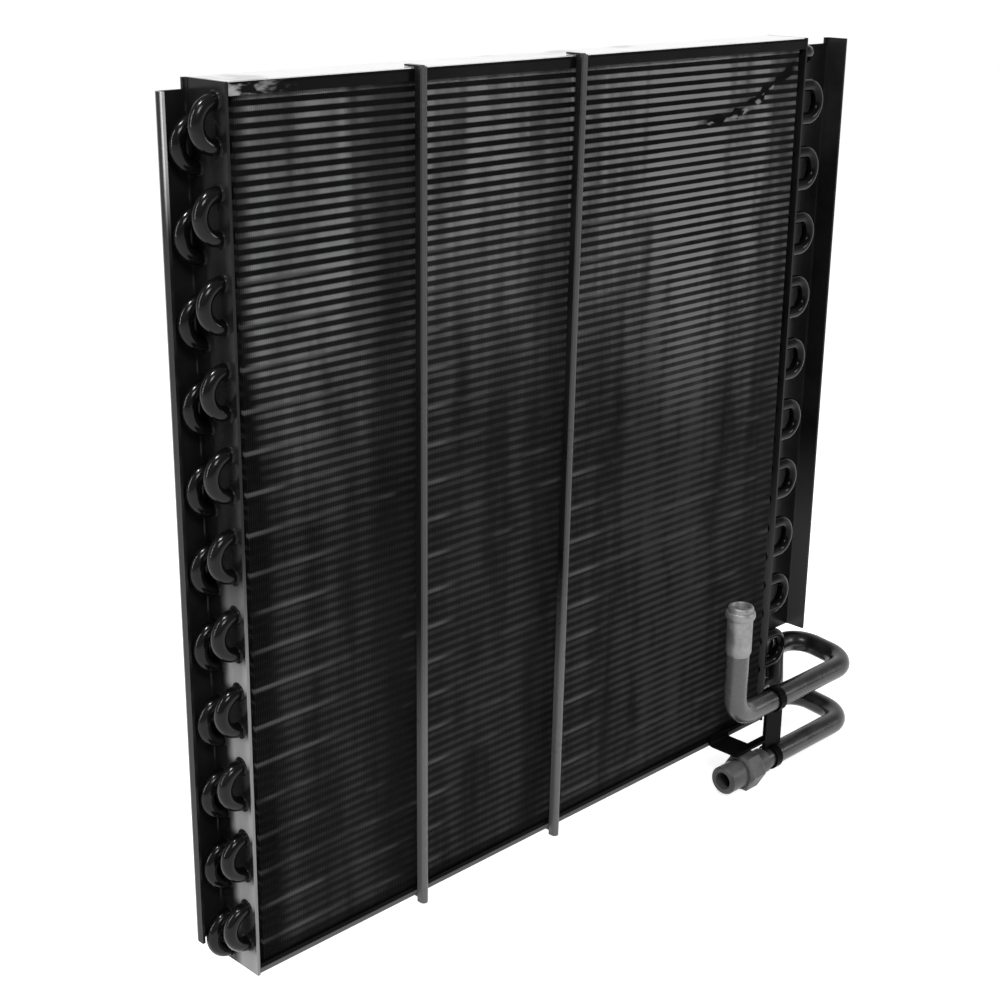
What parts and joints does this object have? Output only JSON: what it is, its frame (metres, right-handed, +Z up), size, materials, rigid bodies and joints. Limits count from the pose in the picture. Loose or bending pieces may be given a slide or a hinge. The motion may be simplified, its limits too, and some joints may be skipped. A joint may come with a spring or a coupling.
{
  "type": "hydraulic oil cooler",
  "caption": "Flat rectangular plate-fin oil cooler: staggered tube rows in a folded sheet frame, with a hose stub and a hexagon fitting on bent pipes.",
  "frame": {"origin": "middle of the bottom channel's rear flange, on the rear mounting plane", "axes": "+X along the tubes towards the pipes, +Y out of the rear mounting plane, +Z up"},
  "size_m": [0.6524, 0.0831, 0.5953],
  "materials": {
    "frame_paint": "gloss black paint on folded sheet steel",
    "fin_paint": "gloss black paint on rippled plate fins",
    "tube_paint": "gloss black paint on tube",
    "pipe_paint": "semi-gloss black paint on steel pipe",
    "bracket_paint": "gloss black paint on sheet steel",
    "strap_paint": "gloss black paint on folded strip",
    "fitting_paint": "dark grey paint on a turned fitting",
    "bare_steel": "bare turned steel"
  },
  "bodies": {
    "root": {"bottom_channel": "frame_paint", "crossover_bend": "tube_paint", "fin_pack": "fin_paint", "front_hairpin_01": "tube_paint", "front_hairpin_02": "tube_paint", "front_hairpin_03": "tube_paint", "front_hairpin_04": "tube_paint", "front_hairpin_05": "tube_paint", "front_hairpin_06": "tube_paint", "front_hairpin_07": "tube_paint", "front_hairpin_08": "tube_paint", "front_hairpin_09": "tube_paint", "front_hairpin_10": "tube_paint", "front_hairpin_11": "tube_paint", "front_return_bend_01": "tube_paint", "front_return_bend_02": "tube_paint", "front_return_bend_03": "tube_paint", "front_return_bend_04": "tube_paint", "front_return_bend_05": "tube_paint", "front_return_bend_06": "tube_paint", "front_return_bend_07": "tube_paint", "front_return_bend_08": "tube_paint", "front_return_bend_09": "tube_paint", "front_return_bend_10": "tube_paint", "hex_fitting": "fitting_paint", "hose_stub": "bare_steel", "left_front_strap": "strap_paint", "left_tube_sheet": "frame_paint", "lower_band": "bracket_paint", "lower_pipe": "pipe_paint", "lower_reducer": "pipe_paint", "pipe_bracket": "bracket_paint", "rear_hairpin_01": "tube_paint", "rear_hairpin_02": "tube_paint", "rear_hairpin_03": "tube_paint", "rear_hairpin_04": "tube_paint", "rear_hairpin_05": "tube_paint", "rear_hairpin_06": "tube_paint", "rear_hairpin_07": "tube_paint", "rear_hairpin_08": "tube_paint", "rear_hairpin_09": "tube_paint", "rear_hairpin_10": "tube_paint", "rear_hairpin_11": "tube_paint", "rear_return_bend_01": "tube_paint", "rear_return_bend_02": "tube_paint", "rear_return_bend_03": "tube_paint", "rear_return_bend_04": "tube_paint", "rear_return_bend_05": "tube_paint", "rear_return_bend_06": "tube_paint", "rear_return_bend_07": "tube_paint", "rear_return_bend_08": "tube_paint", "rear_return_bend_09": "tube_paint", "rear_return_bend_10": "tube_paint", "right_front_strap": "strap_paint", "right_tube_sheet": "frame_paint", "top_channel": "frame_paint", "tube_nut": "fitting_paint", "upper_band": "bracket_paint", "upper_pipe": "pipe_paint", "upper_reducer": "pipe_paint"}
  },
  "joints": []
}
